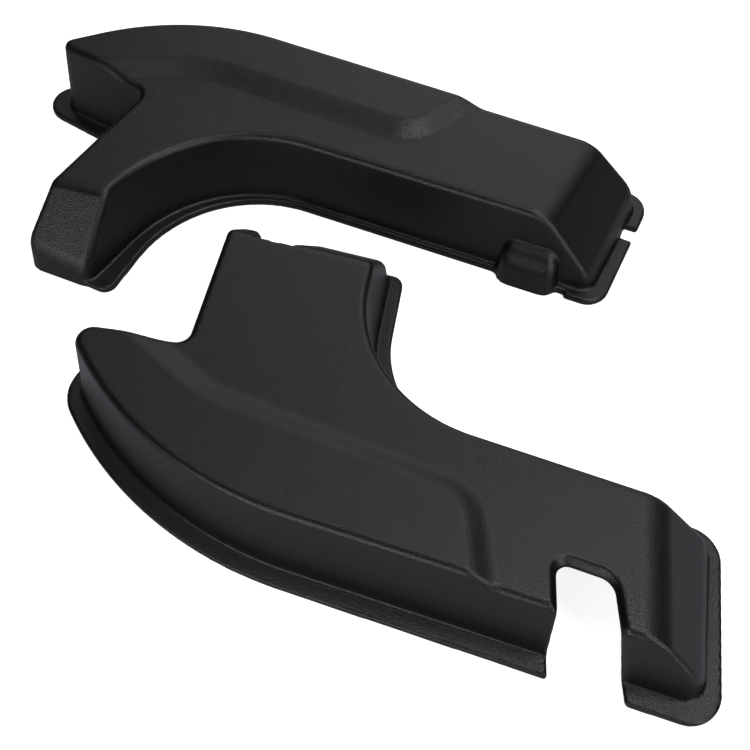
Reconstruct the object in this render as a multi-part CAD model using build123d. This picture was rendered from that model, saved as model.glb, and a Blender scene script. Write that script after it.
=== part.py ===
"""Two moulded plastic cover shells that lie open side down.

Each shell is one piece: a long arm that ends in a slope, a short pointed nose, and a
leg that branches off sideways. A raised ridge runs along the outer side of the arm and
over the nose, and a flat flange stands out around most of the rim.

Every outline is written in the shell's own plan frame: x runs along the arm towards its
sloped end, y points towards the leg, and the origin is the inner end of the arm's flat
top. The upper shell is mirrored, so the two make a left-hand and a right-hand cover.
"""
import os
from dataclasses import dataclass
from math import cos, radians, sin, tan

from build123d import *

# ---- sizes shared by both shells (mm, degrees) ----
WALL = 4.0              # thickness of the moulded sheet
FLANGE_THICK = 5.0
TOP = 52.5              # height of the flat top
RIDGE_RISE = 6.0        # ridge above the flat top
RAMP_FOOT = 19.0        # height at which an end slope meets its short end wall
DRAFT = 6.5             # lean of the walls
RIDGE_LEAN = 55.0       # lean of the ridge's step
EDGE_ROUND = 4.5        # outer rounding along the top edges
INNER_ROUND = 1.5       # the same on the inside of the sheet
FLANGE_ROUND = 1.5      # upper edge of the flange

RIDGE_TOP = TOP + RIDGE_RISE
FAR = 400.0             # longer than either shell


@dataclass
class Shell:
    """Plan outlines of one shell; each corner is (x, y, radius)."""

    name: str
    top: list           # walls at the height of the flat top, as if there were no end slopes
    ridge: list         # foot of the ridge's step, closed well outside the walls
    flange: list        # outer edge of the flange
    arm_crease: tuple   # the two ends of the line where the arm's slope starts
    arm_run: float      # length of that slope in plan
    leg_crease: tuple   # the same for the leg
    leg_run: float
    mirrored: bool
    turn: float         # direction of the arm in the shared frame
    place: tuple        # the shell's origin, seen from the upper shell's origin


UPPER = Shell(
    name="upper_shell",
    top=[(31.5, 0, 2.5), (37.5, -68.5, 4), (-267, -76, 160), (-337, -15, 6), (-264, -3, 8),
         (-285.5, 109.5, 2.5), (-252, 110, 4), (-228, 0, 95)],
    ridge=[(-91, -21.5, 12), (-20, -140, 0), (-400, -140, 0), (-400, 52, 0), (-237, -25.3, 80)],
    flange=[(15, 10.2, 0), (21, 10.5, 0), (22.2, 13, 2), (45.5, 13, 14), (51, -81, 15),
            (-275, -93, 177), (-365.5, -7, 15), (-262, 13, 0), (-258, 114.5, 0),
            (-233.5, 116.5, 8), (-224, 9.8, 80)],
    arm_crease=((0, 0), (10, -70)),
    arm_run=30.0,
    leg_crease=((-279, 84), (-244, 80)),
    leg_run=29.0,
    mirrored=True,
    turn=-0.6,
    place=(0, 0),
)

LOWER = Shell(
    name="lower_shell",
    top=[(30.5, 2.5, 3), (45.2, -72.2, 5), (-246, -81.9, 210), (-327.5, -13.8, 9.5),
         (-260, 0.8, 8), (-277.5, 110, 4), (-190.5, 112, 4), (-168, 2.5, 86)],
    ridge=[(-81, -24, 18), (-28, -140, 0), (-400, -140, 0), (-400, 54, 0), (-234, -16.3, 60)],
    flange=[(40.5, 17.5, 20), (64, -87.5, 17), (-252, -97, 225), (-363, -4.5, 26), (-255, 17, 0),
            (-200, 117, 0), (-177.5, 118.5, 7), (-157, 17.5, 73)],
    arm_crease=((2, 2.5), (21, -73)),
    arm_run=29.0,
    leg_crease=((-272, 81), (-187, 88)),
    leg_run=28.0,
    mirrored=False,
    turn=0.6,
    place=(106.4, -153.9),
)

# ---- details of the upper shell ----
BOSS = [(-22, -12, 0), (15, -12, 0), (15, 15, 8), (-22, 15, 8)]   # box beside the arm
BOSS_TOP = 23.5         # height of its leaning top, at BOSS_EDGE
BOSS_EDGE = 11.0
BOSS_LEAN = 31.0        # the top rises towards the arm
SLOT_Y = -48.5          # slot through the end flange
SLOT_WIDTH = 11.0
SLOT_START = 41.0
SLOT_DEPTH = 30.0

# ---- details of the lower shell ----
NOTCH = [(-37.3, -49, 8, 0), (-8.8, -49, 6, 1), (11.4, -97, 0, 1), (-21.5, -97, 0, 0)]
NOTCH_LEAN = 0.16       # corners marked 1 move this far outwards per millimetre down
ARCH = [(-271, -10, 0), (-230, -10, 0), (-230, 50.5, 4), (-257, 50.5, 4), (-271, 32, 12)]
ARCH_START = 78.0       # the arch is an opening in the end of the leg, from here outwards


def outline(corners, grow=0.0):
    """Face bounded by straight runs joined by tangent arcs, moved outwards by grow."""
    count = len(corners)
    pieces = []
    ends = []
    for i, (x, y, radius) in enumerate(corners):
        before = Vector(*corners[i - 1][:2])
        corner = Vector(x, y)
        after = Vector(*corners[(i + 1) % count][:2])
        back = (before - corner).normalized()
        ahead = (after - corner).normalized()
        half = radians(back.get_angle(ahead)) / 2
        reach = radius / tan(half)
        start = corner + back * reach
        end = corner + ahead * reach
        if radius > 0:
            to_centre = (back + ahead).normalized()
            middle = corner + to_centre * (radius / sin(half) - radius)
            pieces.append(ThreePointArc(start, middle, end))
        ends.append((start, end))
    for i, (start, end) in enumerate(ends):
        pieces.append(Line(end, ends[(i + 1) % count][0]))
    face = make_face(Wire(pieces))
    if grow:
        face = offset(face, grow, kind=Kind.INTERSECTION)
    return face


def drafted(corners, level, height, lean, inset=0.0):
    """Solid from the ground to height whose walls lean in and pass corners at level."""
    foot = outline(corners, level * tan(radians(lean)) - inset)
    return extrude(foot, height, taper=lean)


def slope_cutter(crease, run, inset):
    """Block that removes everything above an end slope, starting at its crease."""
    (x0, y0), (x1, y1) = crease
    middle = ((x0 + x1) / 2, (y0 + y1) / 2, TOP)
    along = Vector(x1 - x0, y1 - y0, 0).normalized()
    outward = Vector(-along.Y, along.X, 0)
    if outward.dot(Vector(*middle[:2], 0) - Vector(-150, -30, 0)) < 0:
        outward = outward * -1
    drop = TOP - RAMP_FOOT
    normal = (outward * drop + Vector(0, 0, run)).normalized()
    plane = Plane(origin=Vector(*middle) - normal * inset, x_dir=along, z_dir=normal)
    return plane * Box(FAR, FAR, FAR, align=(Align.CENTER, Align.CENTER, Align.MIN))


def body(shell, inset=0.0):
    """Closed form of the shell's outside, or of its inside when inset is the wall."""
    solid = drafted(shell.top, TOP, RIDGE_TOP - inset, DRAFT, inset)
    above = Pos(0, 0, TOP - inset) * Box(
        3 * FAR, 3 * FAR, FAR, align=(Align.CENTER, Align.CENTER, Align.MIN))
    ridge = drafted(shell.ridge, TOP, RIDGE_TOP + 1, RIDGE_LEAN, inset)
    solid -= above - ridge
    solid -= slope_cutter(shell.arm_crease, shell.arm_run, inset)
    solid -= slope_cutter(shell.leg_crease, shell.leg_run, inset)
    return solid


def shared_edges(some, others):
    """Edges that a face of one list has in common with a face of the other."""
    known = [edge for face in others for edge in face.edges()]
    return [edge for face in some for edge in face.edges() if any(edge.is_same(k) for k in known)]


def softened(solid, inset=0.0):
    """The body with its top edges, end creases and ridge rounded."""
    faces = [face for face in solid.faces() if face.center().Z > 1]
    lift = {face: abs(face.normal_at().Z) for face in faces}
    middle = TOP - inset + RIDGE_RISE / 2
    walls = [face for face in faces if lift[face] < 0.3]
    flat = [face for face in faces if lift[face] > 0.95 and face.center().Z < middle]
    high = [face for face in faces if lift[face] > 0.95 and face.center().Z > middle]
    leaning = [face for face in faces if 0.3 <= lift[face] <= 0.95]
    steps = [face for face in leaning if face.center().Z > TOP - WALL]
    slopes = [face for face in leaning if face.center().Z < TOP - WALL]
    rim = shared_edges(walls, flat + high + leaning)
    creases = shared_edges(flat, slopes)
    crest = shared_edges(high, steps)
    return fillet(rim + creases + crest, INNER_ROUND if inset else EDGE_ROUND)


def flange(shell):
    """Flat flange with the hollow of the body left open."""
    plate = extrude(outline(shell.flange), FLANGE_THICK)
    return fillet(plate.edges().group_by(Axis.Z)[-1], FLANGE_ROUND)


def cover(shell):
    """One whole shell in its own plan frame, before its openings are cut."""
    outer = softened(body(shell))
    inner = softened(body(shell, WALL), WALL)
    if shell is UPPER:
        outer += boss(0.0)
        inner += boss(WALL)
    return outer + flange(shell) - inner


def boss(inset):
    """Small box with a leaning top and rounded edges that stands beside the arm."""
    block = drafted(BOSS, BOSS_TOP / 2, TOP - WALL, DRAFT, inset)
    normal = Vector(0, sin(radians(BOSS_LEAN)), cos(radians(BOSS_LEAN)))
    lid = Plane(origin=Vector(0, BOSS_EDGE, BOSS_TOP) - normal * inset, x_dir=(1, 0, 0),
                z_dir=normal)
    block -= lid * Box(FAR, FAR, FAR, align=(Align.CENTER, Align.CENTER, Align.MIN))
    top = block.faces().sort_by(Axis((0, 0, 0), normal))[-1]
    return fillet(top.edges(), INNER_ROUND if inset else EDGE_ROUND)


def slot():
    """Cutter for the open slot through the end flange."""
    return Pos(SLOT_START, SLOT_Y, 0) * Box(
        SLOT_DEPTH, SLOT_WIDTH, 3 * FLANGE_THICK, align=(Align.MIN, Align.CENTER, Align.CENTER))


def notch():
    """Cutter for the notch through the top, wall and flange, wider at its foot."""
    sections = []
    for level in (-1, RIDGE_TOP + 1):
        lean = NOTCH_LEAN * (TOP - level)
        corners = [(x + moves * lean, y, radius) for x, y, radius, moves in NOTCH]
        sections.append(Pos(0, 0, level) * outline(corners))
    return loft(sections, ruled=True)


def arch():
    """Cutter for the arched opening in the end of the leg."""
    return Plane(origin=(0, ARCH_START, 0), x_dir=(1, 0, 0), z_dir=(0, -1, 0)) * extrude(
        outline(ARCH), -FAR / 4)


def placed(solid, shell):
    """Turn a shell from its own plan frame into the shared one."""
    if shell.mirrored:
        solid = mirror(solid, about=Plane.XZ)
    return Pos(*shell.place, 0) * Rot(0, 0, shell.turn) * solid


def main():
    os.makedirs("parts", exist_ok=True)
    upper = placed(cover(UPPER) - slot(), UPPER)
    lower = placed(cover(LOWER) - notch() - arch(), LOWER)
    middle = (upper + lower).bounding_box().center()
    print(f"footprint centre, from the upper shell's origin: {middle.X:.2f}, {middle.Y:.2f}")
    for shell, solid in ((UPPER, upper), (LOWER, lower)):
        export_step(Pos(-middle.X, -middle.Y, 0) * solid, f"parts/{shell.name}.step")


if __name__ == "__main__":
    main()
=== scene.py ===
"""Two moulded plastic cover shells: detailed meshes, materials, light and camera.

Each shell is made from a field that is negative inside the plastic and positive outside.
The field is put together from the shell's plan outlines, its wall draft, its flat top,
ridge and end slopes, with a rounding wherever two of those meet. The surface where the
field is zero becomes the mesh. Outlines are in millimetres in the shell's own plan frame:
x along the arm towards its sloped end, y towards the leg.
"""
from math import cos, pi, radians, sin, tan

import bpy
import numpy as np
from mathutils import Matrix, Vector


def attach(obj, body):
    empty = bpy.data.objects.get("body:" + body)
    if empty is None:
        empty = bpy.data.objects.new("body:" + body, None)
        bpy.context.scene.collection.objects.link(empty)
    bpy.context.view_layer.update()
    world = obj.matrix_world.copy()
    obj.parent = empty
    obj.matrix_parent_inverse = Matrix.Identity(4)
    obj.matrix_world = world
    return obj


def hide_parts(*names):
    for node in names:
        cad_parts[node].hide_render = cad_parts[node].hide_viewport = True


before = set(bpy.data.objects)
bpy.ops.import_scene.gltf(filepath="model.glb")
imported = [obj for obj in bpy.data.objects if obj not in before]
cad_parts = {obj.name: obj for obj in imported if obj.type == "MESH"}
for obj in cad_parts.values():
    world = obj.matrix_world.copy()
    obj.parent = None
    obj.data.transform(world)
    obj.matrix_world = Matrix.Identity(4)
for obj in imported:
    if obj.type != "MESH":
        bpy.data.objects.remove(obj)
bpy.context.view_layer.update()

MM = 0.001

# ---- sizes shared by both shells (mm, degrees) ----
WALL = 4.0
FLANGE_THICK = 5.0
TOP = 52.5
RIDGE_RISE = 6.0
RAMP_FOOT = 19.0
DRAFT = 6.5

# ---- roundings (mm) ----
RIM_ROUND = 4.0         # outer edge between top and walls
ARM_CREASE = 7.5        # between the flat top and the arm's end slope
LEG_CREASE = 3.5        # the same on the leg
BOSS_ROUND = 6.5        # edges of the small box
INNER_ROUND = 2.0       # edges inside the sheet
FOOT_ROUND = 1.6        # inside corner between wall and flange
FLANGE_ROUND = 1.6      # upper edge of the flange
NOTCH_ROUND = 1.6       # edges of the notch
SLOT_ROUND = 0.8        # edges of the slot
ARCH_ROUND = 1.0        # edges of the arched opening
BOSS_FOOT = 1.0         # inside corner between the small box and the wall
HOLLOW_ROUND = 1.0      # edges where the hollow opens
FLOOR_ROUND = 1.3       # edges that stand on the floor
LIP_WIDTH = 4.0         # the sheet turns in next to the notch, over this width
LIP_DEPTH = 3.0

# ---- sampling (mm) ----
GRID = 1.5              # spacing of the field's samples
MARGIN = 3 * GRID       # empty space sampled round a shell
GROUND_MARGIN = 2.5 * GRID
WALL_SPREAD = 12.0      # the foot of a wall stays this close to its outline at the top
ARC_STEP = 1.5          # spacing of points on an outline's arcs
SLOPE_STEP = 0.01       # distance over which the field's slope is taken
LEAST_SLOPE = 0.3       # squared slope below which a point's move is held back
EVENING_ROUNDS = 2
TINY = 1e-12            # keeps a division away from zero


class Upper:
    """Plan outlines of the upper shell; each corner is (x, y, radius)."""
    node = "upper_shell"
    top = [(31.5, 0, 2.5), (37.5, -68.2, 4), (-267, -76, 160), (-337.5, -15, 6), (-264, -3, 8),
           (-285.5, 109.5, 2.5), (-252, 110, 4), (-228, 0, 95)]
    ridge = [(-90.2, -20.3, 32), (-20, -140, 0), (-400, -140, 0), (-400, 52, 0), (-237, -25.3, 80)]
    ridge_step = 17.0
    flange = [(15, 10.2, 0), (21, 10.5, 0.8), (22.2, 13, 0.8), (45.5, 13, 14), (51, -81, 15),
              (-275, -93, 177), (-365.5, -7, 15), (-262, 13, 0), (-258, 114.5, 0),
              (-233.5, 116.5, 8), (-224, 9.8, 80)]
    arm_crease = ((0, 0), (10, -70))
    arm_run = 30.0
    leg_crease = ((-279, 84), (-244, 80))
    leg_run = 29.0
    mirrored = True
    turn = -0.6
    place = (0.0, 0.0)


class Lower:
    """The same for the lower shell."""
    node = "lower_shell"
    top = [(30.5, 2.5, 3), (45.2, -72.2, 5), (-246, -81.9, 210), (-327.5, -13.8, 9.5),
           (-260, 0.8, 8), (-277.5, 110, 4), (-190.5, 112, 4), (-168, 2.5, 86)]
    ridge = [(-80.5, -23, 34), (-28, -140, 0), (-400, -140, 0), (-400, 54, 0), (-234, -16.3, 60)]
    ridge_step = 17.0
    flange = [(40.5, 17.5, 20), (64, -87.5, 17), (-252, -97, 225), (-363, -4.5, 26), (-255, 17, 0),
              (-200, 117, 0), (-177.5, 118.5, 7), (-157, 17.5, 73)]
    arm_crease = ((2, 2.5), (21, -73))
    arm_run = 29.0
    leg_crease = ((-272, 81), (-187, 88))
    leg_run = 28.0
    mirrored = False
    turn = 0.6
    place = (106.4, -153.9)


FOOTPRINT_CENTRE = (-90.90, -78.85)   # of both shells, from the upper shell's origin
BETWEEN_SLOPES = (-150, -30)          # a plan point that both end slopes face away from

# ---- details of the upper shell ----
BOSS = [(-22, -12, 0), (15, -12, 0), (15, 15, 8), (-22, 15, 8)]   # small box beside the arm
BOSS_TOP = 23.5         # height at its front edge
BOSS_EDGE = 11.0        # y of that edge
BOSS_SLOPE = 0.6        # rise of its top towards the wall
SLOT = [(41, -54, 0.8), (75, -54, 0), (75, -43, 0), (41, -43, 0.8)]   # through the end flange

# ---- details of the lower shell ----
NOTCH_END = -49.0               # inner end of the notch
NOTCH_LEFT = (-37.3, 0.33)      # x of each side at the inner end, and how it moves outwards
NOTCH_RIGHT = (-8.8, 0.42)
NOTCH_LEAN = 0.16               # the right side also moves out by this much per mm down
NOTCH_CORNERS = (8.0, 6.0)      # radius of its left and right inner corner
ARCH = [(-271, -10, 0), (-230, -10, 0), (-230, 50.5, 4), (-257, 50.5, 4), (-271, 32, 12)]
ARCH_START = 78.0               # the arch is cut from here outwards; its outline is (x, z)


# ---------------------------------------------------------------- field
def rounded_outline(corners):
    """Closed line of points: straight runs joined by tangent arcs."""
    points = []
    for i, (x, y, radius) in enumerate(corners):
        corner = np.array((x, y), float)
        back = np.array(corners[i - 1][:2]) - corner
        ahead = np.array(corners[(i + 1) % len(corners)][:2]) - corner
        back /= np.linalg.norm(back)
        ahead /= np.linalg.norm(ahead)
        if radius == 0:
            points.append(corner)
            continue
        half = np.arccos(np.clip(back @ ahead, -1, 1)) / 2
        to_centre = (back + ahead) / np.linalg.norm(back + ahead)
        centre = corner + to_centre * radius / sin(half)
        side = np.array((-to_centre[1], to_centre[0]))
        if side @ back < 0:
            side = -side
        sweep = pi / 2 - half
        for a in np.linspace(sweep, -sweep, max(4, int(2 * sweep * radius / ARC_STEP))):
            points.append(centre + radius * (sin(a) * side - cos(a) * to_centre))
    return np.array(points)


def signed_distance(points, x, y):
    """Distance from each (x, y) to a closed line of points, negative inside it."""
    nearest = np.full(x.shape, np.inf)
    inside = np.zeros(x.shape, bool)
    for (ax, ay), (bx, by) in zip(points, np.roll(points, -1, axis=0)):
        dx, dy = bx - ax, by - ay
        along = np.clip(((x - ax) * dx + (y - ay) * dy) / (dx * dx + dy * dy + TINY), 0, 1)
        gap = (x - ax - along * dx) ** 2 + (y - ay - along * dy) ** 2
        nearest = np.minimum(nearest, gap)
        crosses = (ay > y) != (by > y)
        inside ^= crosses & (x < ax + (y - ay) * dx / (dy if dy else TINY))
    return np.where(inside, -1.0, 1.0) * np.sqrt(nearest)


def plan_gap(corners, x, y):
    """Distance to a rounded outline, with one more axis for the heights."""
    return signed_distance(rounded_outline(corners), x, y)[..., None]


def both(a, b, radius):
    """What is inside both fields, with the edge rounded."""
    return np.minimum(-radius, np.maximum(a, b)) + np.hypot(
        np.maximum(radius + a, 0), np.maximum(radius + b, 0))


def either(a, b, radius):
    """What is inside either field, with the inside corner filled."""
    return -both(-a, -b, radius)


def smooth(t):
    """Soft step from 0 to 1."""
    t = np.clip(t, 0, 1)
    return t * t * (3 - 2 * t)


def slope_field(crease, run, x, y, z):
    """Half-space under an end slope that starts at its crease."""
    (x0, y0), (x1, y1) = crease
    length = np.hypot(x1 - x0, y1 - y0)
    out = np.array((-(y1 - y0), x1 - x0)) / length
    if out @ np.array((x0 - BETWEEN_SLOPES[0], y0 - BETWEEN_SLOPES[1])) < 0:
        out = -out
    drop = TOP - RAMP_FOOT
    ahead = (x - x0) * out[0] + (y - y0) * out[1]
    return (ahead * drop + (z - TOP) * run) / np.hypot(drop, run)


def drafted_wall(distance, level, z):
    """Field of walls that lean in and pass the outline at the given level."""
    return (distance - (level - z) * tan(radians(DRAFT))) * cos(radians(DRAFT))


def notch_field(x, y, z):
    """Cutter of the notch: two slanting sides and a rounded inner end."""
    out = NOTCH_END - y
    left = (NOTCH_LEFT[0] + NOTCH_LEFT[1] * out - x) / np.hypot(1, NOTCH_LEFT[1])
    right = x - NOTCH_RIGHT[0] - NOTCH_RIGHT[1] * out - NOTCH_LEAN * (TOP - z)
    right = right / np.sqrt(1 + NOTCH_RIGHT[1] ** 2 + NOTCH_LEAN ** 2)
    return np.maximum(both(left, -out, NOTCH_CORNERS[0]), both(right, -out, NOTCH_CORNERS[1]))


def shell_field(shell, x, y, z):
    """The whole field of one shell, at the heights z over each plan point (x, y)."""
    wall_gap = plan_gap(shell.top, x, y)
    ridge_gap = plan_gap(shell.ridge, x, y)
    flange_gap = plan_gap(shell.flange, x, y)
    x3, y3 = x[..., None], y[..., None]

    height = TOP + RIDGE_RISE * smooth(-ridge_gap / shell.ridge_step)
    wall = drafted_wall(wall_gap, TOP, z)
    cap = z - height
    inner_cap = cap + WALL
    for crease, run, softness in ((shell.arm_crease, shell.arm_run, ARM_CREASE),
                                  (shell.leg_crease, shell.leg_run, LEG_CREASE)):
        slope = slope_field(crease, run, x3, y3, z)
        cap = both(cap, slope, softness)
        inner_cap = both(inner_cap, slope + WALL, max(softness - WALL, INNER_ROUND))

    turned_in = 0.0
    if shell is Lower:
        notch_gap = notch_field(x3, y3, z)
        turned_in = LIP_DEPTH * (1 - smooth(notch_gap / LIP_WIDTH))
    outer = both(wall, cap + turned_in, RIM_ROUND)
    inner = both(wall + WALL, inner_cap + turned_in, INNER_ROUND)

    if shell is Upper:
        boss_wall = drafted_wall(plan_gap(BOSS, x, y), BOSS_TOP / 2, z)
        rise = BOSS_SLOPE * (BOSS_EDGE - y3)
        boss_cap = (z - BOSS_TOP - rise) / np.hypot(1, BOSS_SLOPE)
        outer = either(outer, both(boss_wall, boss_cap, BOSS_ROUND), BOSS_FOOT)
        hollow = both(boss_wall + WALL, boss_cap + WALL, INNER_ROUND)
        inner = either(inner, hollow, BOSS_FOOT)

    plate = both(flange_gap, z - FLANGE_THICK, FLANGE_ROUND)
    solid = either(outer, plate, FOOT_ROUND)
    solid = both(solid, -inner, HOLLOW_ROUND)
    solid = both(solid, -z, FLOOR_ROUND)

    if shell is Upper:
        solid = both(solid, -plan_gap(SLOT, x, y), SLOT_ROUND)
    else:
        solid = both(solid, -notch_gap, NOTCH_ROUND)
        across, up = np.broadcast_arrays(x3, z)
        arch = np.maximum(signed_distance(rounded_outline(ARCH), across, up), ARCH_START - y3)
        solid = both(solid, -arch, ARCH_ROUND)
    return solid


# ---------------------------------------------------------------- mesh
def field_at(shell, points):
    """Value and slope of a shell's field at loose points."""
    def value(dx, dy, dz):
        x, y, z = (points + (dx, dy, dz)).T
        return shell_field(shell, x, y, z[:, None])[:, 0]

    here = value(0, 0, 0)
    slope = [value(*ahead) - here for ahead in SLOPE_STEP * np.eye(3)]
    return here, np.stack(slope, 1) / SLOPE_STEP


def surface(field, origin):
    """Points and quads of the surface where the field is zero, one point per crossed cell."""
    inside = field < 0
    shape = np.array(field.shape) - 1
    total = np.zeros(tuple(shape) + (3,), np.float32)
    count = np.zeros(tuple(shape), np.int8)
    quads = []
    crossings = []
    for axis in range(3):
        near = [slice(None)] * 3
        far = [slice(None)] * 3
        near[axis] = slice(0, -1)
        far[axis] = slice(1, None)
        a, b = field[tuple(near)], field[tuple(far)]
        crossed = inside[tuple(near)] != inside[tuple(far)]
        at = np.argwhere(crossed)
        part = a[crossed] / (a[crossed] - b[crossed])
        where = at.astype(float)
        where[:, axis] += part
        others = [n for n in range(3) if n != axis]
        for da in (0, 1):
            for db in (0, 1):
                cell = at.copy()
                cell[:, others[0]] -= da
                cell[:, others[1]] -= db
                ok = np.all((cell >= 0) & (cell < shape), axis=1)
                key = tuple(cell[ok].T)
                np.add.at(total, key, where[ok])
                np.add.at(count, key, 1)
        crossings.append((axis, others, at, inside[tuple(near)][crossed]))
    active = count > 0
    index = np.full(count.shape, -1)
    index[active] = np.arange(active.sum())
    points = origin + GRID * total[active] / count[active][:, None]
    for axis, others, at, starts_inside in crossings:
        ring = []
        for da, db in ((1, 1), (0, 1), (0, 0), (1, 0)):
            cell = at.copy()
            cell[:, others[0]] -= da
            cell[:, others[1]] -= db
            ring.append(index[tuple(cell.T)])
        quad = np.stack(ring, 1)
        flip = starts_inside == (axis == 1)
        quad[flip] = quad[flip][:, ::-1]
        quads.append(quad)
    return points, np.concatenate(quads)


def evened(points, quads):
    """Points moved half-way to the middle of their neighbours, so that they spread evenly."""
    total = np.zeros_like(points)
    count = np.zeros((len(points), 1))
    for a in range(4):
        np.add.at(total, quads[:, a], points[quads[:, (a + 1) % 4]])
        np.add.at(count, quads[:, a], 1)
    return (points + total / count) / 2


def shell_mesh(shell):
    """Mesh object of one shell in the shared frame, with normals taken from the field."""
    outline = rounded_outline(shell.flange)
    walls = rounded_outline(shell.top)
    low = np.minimum(outline.min(0), walls.min(0) - WALL_SPREAD) - MARGIN
    high = np.maximum(outline.max(0), walls.max(0) + WALL_SPREAD) + MARGIN
    xs = np.arange(low[0], high[0], GRID)
    ys = np.arange(low[1], high[1], GRID)
    zs = np.arange(-GROUND_MARGIN, TOP + RIDGE_RISE + MARGIN, GRID)
    x, y = np.meshgrid(xs, ys, indexing="ij")
    field = shell_field(shell, x, y, zs[None, None, :])
    origin = np.array((xs[0], ys[0], zs[0]))
    points, quads = surface(field, origin)
    for _ in range(EVENING_ROUNDS):
        points = evened(points, quads)
        value, slope = field_at(shell, points)
        points -= slope * (value / np.maximum((slope ** 2).sum(1), LEAST_SLOPE))[:, None]
    if shell.mirrored:
        points[:, 1] *= -1
        slope[:, 1] *= -1
        quads = quads[:, ::-1]
    mesh = bpy.data.meshes.new(shell.node + "_moulding")
    mesh.from_pydata((points * MM).tolist(), [], quads.tolist())
    mesh.update()
    mesh.shade_smooth()
    piece = bpy.data.objects.new(shell.node + "_moulding", mesh)
    bpy.context.collection.objects.link(piece)
    shift = (Vector(shell.place) - Vector(FOOTPRINT_CENTRE)) * MM
    move = Matrix.Translation((shift.x, shift.y, 0)) @ Matrix.Rotation(radians(shell.turn), 4, "Z")
    mesh.transform(move)
    slope = slope @ np.array(move.to_3x3()).T
    slope /= np.linalg.norm(slope, axis=1)[:, None] + TINY
    mesh.normals_split_custom_set_from_vertices(slope.tolist())
    return piece


# ---------------------------------------------------------------- material
def shell_plastic():
    """Near-black moulded plastic with a fine grain."""
    material = bpy.data.materials.new("shell_plastic_grained")
    material.use_nodes = True
    nodes, links = material.node_tree.nodes, material.node_tree.links
    shader = nodes["Principled BSDF"]
    shader.inputs["Base Color"].default_value = (0.003, 0.0032, 0.004, 1)
    shader.inputs["Specular IOR Level"].default_value = 0.45
    place = nodes.new("ShaderNodeTexCoord")

    grain = nodes.new("ShaderNodeTexNoise")
    grain.inputs["Scale"].default_value = 1300
    grain.inputs["Detail"].default_value = 2
    grain.inputs["Roughness"].default_value = 0.55
    links.new(place.outputs["Object"], grain.inputs["Vector"])

    patches = nodes.new("ShaderNodeTexNoise")
    patches.inputs["Scale"].default_value = 45
    patches.inputs["Detail"].default_value = 4
    links.new(place.outputs["Object"], patches.inputs["Vector"])
    rough = nodes.new("ShaderNodeMapRange")
    rough.inputs["To Min"].default_value = 0.30
    rough.inputs["To Max"].default_value = 0.38
    links.new(patches.outputs["Fac"], rough.inputs["Value"])
    links.new(rough.outputs["Result"], shader.inputs["Roughness"])

    bump = nodes.new("ShaderNodeBump")
    bump.inputs["Strength"].default_value = 1.0
    bump.inputs["Distance"].default_value = 0.00025
    links.new(grain.outputs["Fac"], bump.inputs["Height"])
    links.new(bump.outputs["Normal"], shader.inputs["Normal"])
    return material


# ---------------------------------------------------------------- scene
VIEW_ELEVATION = 57.0
VIEW_TURN = 21.8                        # the camera looks this far left of +Y
VIEW_DISTANCE = 0.7                     # m
VIEW_TARGET = Vector((0.02722, -0.02772, 0.0))
LENS = 57.6                             # mm
SENSOR_WIDTH = 36

FLOOR_HALF = 30.0                       # m, half the side of the floor
FLOOR_GREY = (0.43, 0.44, 0.46, 1)      # what lights and shells meet
PALE = (0.85, 0.85, 0.85, 1)            # what the camera sees of floor and backdrop
FLOOR_GLOW = 0.88
LIGHT_COLOUR = (0.955, 0.98, 1.0)

# name, position (m), width and height (m), power (W)
SOFTBOXES = [
    ("back_softbox", (0.1, 1.3, 1.45), (0.8, 0.7), 2),
    ("back_left_softbox", (-0.7, 1.2, 1.5), (0.8, 0.7), 3),
    ("back_right_softbox", (0.8, 1.3, 1.3), (0.8, 0.7), 3),
    ("back_low_softbox", (0.0, 1.9, 0.9), (1.2, 0.6), 3),
    ("horizon_softbox", (-0.6, 1.9, 0.45), (1.2, 0.5), 2),
    ("front_softbox", (-0.3, -1.7, 0.4), (1.4, 0.5), 12),
    ("right_softbox", (1.2, -0.7, 1.3), (0.6, 0.6), 8),
    ("right_low_softbox", (1.6, -1.0, 0.5), (0.6, 0.8), 8),
    ("overhead_right", (0.5, 0.15, 1.6), (0.35, 0.35), 8),
    ("overhead_left", (-0.5, -0.1, 1.6), (0.35, 0.35), 2),
]


def add_camera():
    """Camera in front of the shells and to their right, looking down on them."""
    data = bpy.data.cameras.new("camera")
    data.lens = LENS
    data.sensor_width = SENSOR_WIDTH
    camera = bpy.data.objects.new("camera", data)
    bpy.context.collection.objects.link(camera)
    rise, turn = radians(VIEW_ELEVATION), radians(VIEW_TURN)
    back = Vector((sin(turn) * cos(rise), -cos(turn) * cos(rise), sin(rise)))
    camera.location = VIEW_TARGET + back * VIEW_DISTANCE
    camera.rotation_euler = (pi / 2 - rise, 0, turn)
    bpy.context.scene.camera = camera


def add_light(name, position, size, power):
    """Soft rectangular light that faces the point the camera looks at."""
    data = bpy.data.lights.new(name, "AREA")
    data.shape = "RECTANGLE"
    data.size, data.size_y = size
    data.energy = power
    data.color = LIGHT_COLOUR
    light = bpy.data.objects.new(name, data)
    bpy.context.collection.objects.link(light)
    light.location = position
    light.rotation_euler = (VIEW_TARGET - Vector(position)).to_track_quat("-Z", "Y").to_euler()


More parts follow.
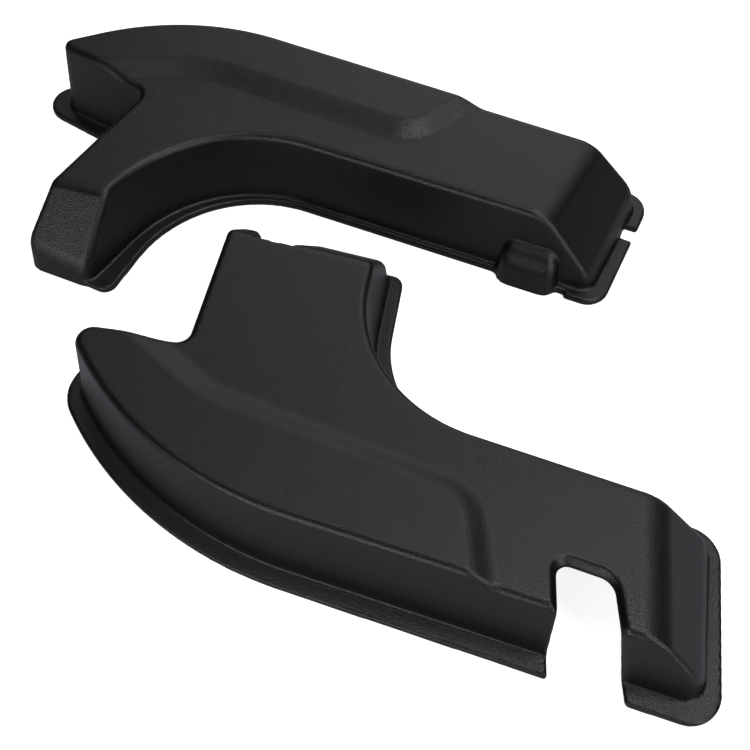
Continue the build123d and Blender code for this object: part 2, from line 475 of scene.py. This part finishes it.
def add_floor():
    """Floor that is grey to lights and reflections, and glows white to the camera."""
    mesh = bpy.data.meshes.new("floor")
    sides = ((-1, -1), (1, -1), (1, 1), (-1, 1))
    corners = [(FLOOR_HALF * a, FLOOR_HALF * b, 0) for a, b in sides]
    mesh.from_pydata(corners, [], [(0, 1, 2, 3)])
    floor = bpy.data.objects.new("floor", mesh)
    bpy.context.collection.objects.link(floor)
    material = bpy.data.materials.new("floor")
    material.use_nodes = True
    nodes, links = material.node_tree.nodes, material.node_tree.links
    nodes.remove(nodes["Principled BSDF"])
    seen = nodes.new("ShaderNodeLightPath").outputs["Is Camera Ray"]
    grey, white = nodes.new("ShaderNodeBsdfDiffuse"), nodes.new("ShaderNodeBsdfDiffuse")
    grey.inputs["Color"].default_value = FLOOR_GREY
    white.inputs["Color"].default_value = PALE
    glow = nodes.new("ShaderNodeEmission")
    glow.inputs["Strength"].default_value = FLOOR_GLOW
    lit = nodes.new("ShaderNodeAddShader")
    links.new(white.outputs["BSDF"], lit.inputs[0])
    links.new(glow.outputs["Emission"], lit.inputs[1])
    mix = nodes.new("ShaderNodeMixShader")
    links.new(seen, mix.inputs["Fac"])
    links.new(grey.outputs["BSDF"], mix.inputs[1])
    links.new(lit.outputs["Shader"], mix.inputs[2])
    links.new(mix.outputs["Shader"], nodes["Material Output"].inputs["Surface"])
    mesh.materials.append(material)


def add_world():
    """Dim room, brighter overhead, that the camera sees as a plain pale backdrop."""
    world = bpy.data.worlds.new("studio")
    world.use_nodes = True
    nodes, links = world.node_tree.nodes, world.node_tree.links
    direction = nodes.new("ShaderNodeTexCoord").outputs["Generated"]
    split = nodes.new("ShaderNodeSeparateXYZ")
    links.new(direction, split.inputs["Vector"])
    ramp = nodes.new("ShaderNodeMapRange")
    ramp.inputs["From Min"].default_value = 0.1
    ramp.inputs["From Max"].default_value = 1.0
    ramp.inputs["To Min"].default_value = 0.01
    ramp.inputs["To Max"].default_value = 0.06
    room, backdrop = nodes["Background"], nodes.new("ShaderNodeBackground")
    room.inputs["Color"].default_value = (1, 1, 1, 1)
    backdrop.inputs["Color"].default_value = PALE
    mix = nodes.new("ShaderNodeMixShader")
    links.new(split.outputs["Z"], ramp.inputs["Value"])
    links.new(ramp.outputs["Result"], room.inputs["Strength"])
    links.new(nodes.new("ShaderNodeLightPath").outputs["Is Camera Ray"], mix.inputs["Fac"])
    links.new(room.outputs["Background"], mix.inputs[1])
    links.new(backdrop.outputs["Background"], mix.inputs[2])
    links.new(mix.outputs["Shader"], nodes["World Output"].inputs["Surface"])
    bpy.context.scene.world = world


plastic = shell_plastic()
for shell in (Upper, Lower):
    piece = shell_mesh(shell)
    piece.data.materials.append(plastic)
    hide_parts(shell.node)
    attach(piece, "root")

add_floor()
add_camera()
add_world()
bpy.context.scene.view_settings.view_transform = "Standard"
for softbox in SOFTBOXES:
    add_light(*softbox)
